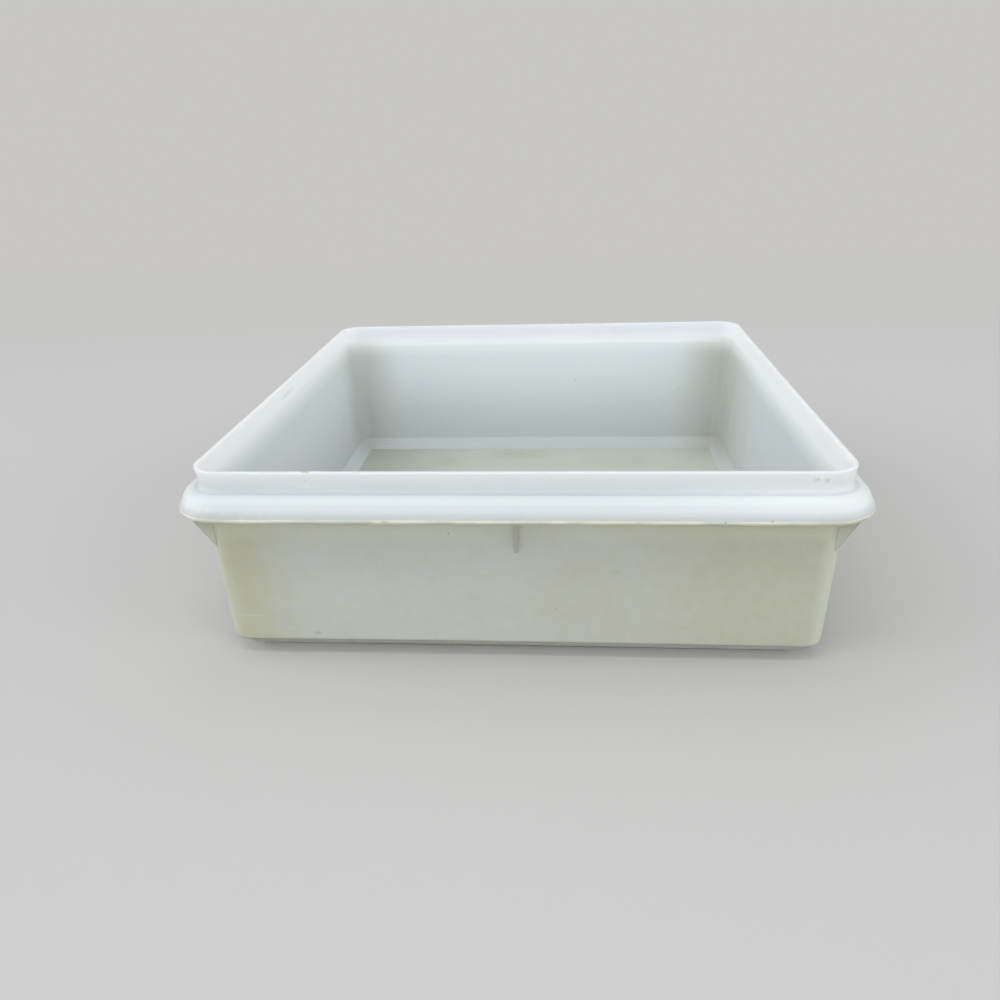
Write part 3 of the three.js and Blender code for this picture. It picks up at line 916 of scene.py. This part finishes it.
def eight_round(tree, size, rib):
    index = add(tree, "GeometryNodeInputIndex").outputs[0]
    angle = calc(tree, "MULTIPLY", index, math.pi / 4)
    offset = calc(tree, "MULTIPLY", calc(tree, "MODULO", index, 2.0), size["Corner Offset"])
    spots = add(tree, "GeometryNodeMeshCircle", {"Vertices": 8, "Radius": 1.0}).outputs["Mesh"]
    x = calc(tree, "MULTIPLY", calc(tree, "COSINE", angle), offset)
    y = calc(tree, "MULTIPLY", calc(tree, "SINE", angle), offset)
    place = add(tree, "ShaderNodeCombineXYZ", {0: x, 1: y}).outputs[0]
    spots = add(tree, "GeometryNodeSetPosition", {"Geometry": spots, "Position": place}).outputs[0]
    euler = add(tree, "ShaderNodeCombineXYZ", {2: angle}).outputs[0]
    turned = add(tree, "FunctionNodeEulerToRotation", {0: euler}).outputs[0]
    inputs = {"Points": spots, "Instance": rib, "Rotation": turned}
    return add(tree, "GeometryNodeInstanceOnPoints", inputs).outputs[0]


close_tree(rib_tree, eight_round(rib_tree, size, rib), size["Material"])
ribs = shaped("gusset_ribs", rib_outline(), rib_tree, RIB_SIZES, bevel=RIB_EDGE * MM)
describe(ribs)

# %% [markdown]
# ## Tie the pieces to the CAD frame
#
# The tub has no moving parts, so both pieces ride on its one body, and the CAD solids that each
# stands for are hidden.

# %% Tie to the frame
SIDES = ("right", "back", "left", "front")
CORNERS = ("back_right", "back_left", "front_left", "front_right")
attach(tub, "root")
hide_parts("floor_panel", "base_bevel", "flange", "skirt", "rim", *("wall_" + s for s in SIDES))
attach(ribs, "root")
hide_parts(*("rib_" + s for s in SIDES + CORNERS))

# %% [markdown]
# ## Floor and backdrop
#
# The tub stands on a plain pale floor that turns up into a backdrop. A floor as pale as that would
# throw a lot of light back up and wash out the shading of the walls. So it looks pale to the
# camera and in reflections but returns little light to the tub, and the backdrop lets the light
# of the room through. Towards the back both glow by themselves, which keeps them even.

# %% Floor and backdrop
PALE = srgb(204, 203, 200)
DARK, CLEAR = srgb(60, 60, 64), (1, 1, 1, 1)
GLOW, GLOW_FROM, GLOW_TO = 0.95, 0.15, 1.0  # strength, and metres behind the tub's axis


def seen_by_camera(tree):
    """1 where the camera looks, straight or by way of a reflection or clear plastic."""
    rays = add(tree, "ShaderNodeLightPath").outputs
    seen = calc(tree, "MAXIMUM", rays["Is Camera Ray"], rays["Is Glossy Ray"])
    return calc(tree, "MAXIMUM", seen, rays["Is Transmission Ray"])


def stage_material(name, unseen_kind, unseen_colour):
    """Pale where it is seen, and something else for the light that it sends back."""
    material = bpy.data.materials.new(name)
    material.use_nodes = True
    tree = material.node_tree
    tree.nodes.remove(tree.nodes["Principled BSDF"])
    pale = add(tree, "ShaderNodeBsdfDiffuse", {"Color": PALE}).outputs[0]
    lit = add(tree, "ShaderNodeEmission", {"Color": PALE, "Strength": GLOW}).outputs[0]
    place = add(tree, "ShaderNodeTexCoord").outputs["Object"]
    back = add(tree, "ShaderNodeSeparateXYZ", {0: place}).outputs["Y"]
    shown = {0: ramp(tree, back, GLOW_FROM, GLOW_TO), 1: pale, 2: lit}
    shown = add(tree, "ShaderNodeMixShader", shown).outputs[0]
    unseen = add(tree, unseen_kind, {"Color": unseen_colour}).outputs[0]
    both = {0: seen_by_camera(tree), 1: unseen, 2: shown}
    both = add(tree, "ShaderNodeMixShader", both).outputs[0]
    tree.links.new(both, tree.nodes["Material Output"].inputs["Surface"])
    return material


STAGE_WIDTH = 5.0
FLOOR_FRONT, FLOOR_BACK, BEND, BEND_STEPS, BACKDROP_TOP = -2.5, 1.2, 0.6, 24, 2.6


def stage_strip(name, line, material):
    """A strip as wide as the stage, that follows a line of (y, z) points in metres."""
    places = [(x, y, z) for x in (-STAGE_WIDTH / 2, STAGE_WIDTH / 2) for y, z in line]
    count = len(line)
    faces = [(i, count + i, count + i + 1, i + 1) for i in range(count - 1)]
    mesh = bpy.data.meshes.new(name)
    mesh.from_pydata(places, [], faces)
    mesh.shade_smooth()
    mesh.materials.append(material)
    strip = bpy.data.objects.new(name, mesh)
    bpy.context.collection.objects.link(strip)
    return strip


turns = [i * math.pi / 2 / BEND_STEPS for i in range(BEND_STEPS + 1)]
bend = [(FLOOR_BACK + BEND * math.sin(turn), BEND - BEND * math.cos(turn)) for turn in turns]
floor_material = stage_material("pale_floor", "ShaderNodeBsdfDiffuse", DARK)
ground = stage_strip("floor", [(FLOOR_FRONT, 0), (FLOOR_BACK, 0)], floor_material)
backdrop_material = stage_material("pale_backdrop", "ShaderNodeBsdfTransparent", CLEAR)
backdrop = stage_strip("backdrop", [*bend, (FLOOR_BACK + BEND, BACKDROP_TOP)], backdrop_material)
print("stage:", ground.name, backdrop.name)

# %% [markdown]
# ## Light
#
# A tub this plain gets its shape from soft light that differs a little from side to side. The world
# gives it as a pale room, brighter low down at the left, the right and the front and high up at
# the back, and a little darker straight above. Large lamps could do the same, but each would
# show as a patch in the satin skin.

# %% Light of the room
ROOM_COLOUR, ROOM_BASE = srgb(248, 251, 254), 0.5
# Sides of the room: azimuth from the front towards the right, elevation, tightness, strength
ROOM_SIDES = {
    "front": (0, 15, 4, 1.4),
    "front left": (300, 18, 8, 0.4),
    "front right": (65, 18, 8, 0.9),
    "left": (270, 5, 8, 1.5),
    "high left": (280, 35, 8, 1.05),
    "right": (90, 5, 8, 1.3),
    "back": (180, 70, 8, 0.95),
    "ceiling": (0, 90, 3, -0.55),
}


def bright_side(tree, azimuth, elevation, tightness, strength):
    """Light from one side of the room, strongest at its middle."""
    around, up = math.radians(azimuth), math.radians(elevation)
    middle = (math.sin(around) * math.cos(up), -math.cos(around) * math.cos(up), math.sin(up))
    toward = {0: add(tree, "ShaderNodeTexCoord").outputs["Generated"], 1: middle}
    facing = add(tree, "ShaderNodeVectorMath", toward, operation="DOT_PRODUCT").outputs["Value"]
    tight = calc(tree, "POWER", calc(tree, "MAXIMUM", facing, 0.0), tightness)
    return calc(tree, "MULTIPLY", tight, strength)


world = bpy.data.worlds.new("pale_room")
bpy.context.scene.world = world
world.use_nodes = True
tree = world.node_tree
room = tree.nodes["Background"]
room.inputs["Color"].default_value = ROOM_COLOUR
strength = ROOM_BASE
for side in ROOM_SIDES.values():
    strength = calc(tree, "ADD", strength, bright_side(tree, *side))
tree.links.new(strength, room.inputs["Strength"])
print("room with", len(ROOM_SIDES), "sides")

# %% [markdown]
# One long narrow lamp hangs overhead, a little in front. It gives the bright line along the
# shoulder and the crest of the rim, which a room that is even all round can't give.

# %% Lamp
LAMP_PLACE, LAMP_AIM = Vector((-0.05, -0.5, 1.1)), Vector((0, 0, 0.04))
LAMP_LENGTH, LAMP_WIDTH, LAMP_POWER = 0.9, 0.1, 2.15

lamp = bpy.data.objects.new("ceiling_lamp", bpy.data.lights.new("ceiling_lamp", "AREA"))
bpy.context.collection.objects.link(lamp)
lamp.data.shape = "RECTANGLE"
lamp.data.size, lamp.data.size_y = LAMP_LENGTH, LAMP_WIDTH
lamp.data.energy = LAMP_POWER
lamp.location = LAMP_PLACE
lamp.rotation_euler = (LAMP_AIM - LAMP_PLACE).to_track_quat("-Z", "Y").to_euler()
print("lamp of", LAMP_POWER, "W")

# %% [markdown]
# ## View transform
#
# The render uses the standard view transform. The visual model has to stay inside the CAD box.

# %% Finish
bpy.context.scene.view_settings.view_transform = "Standard"
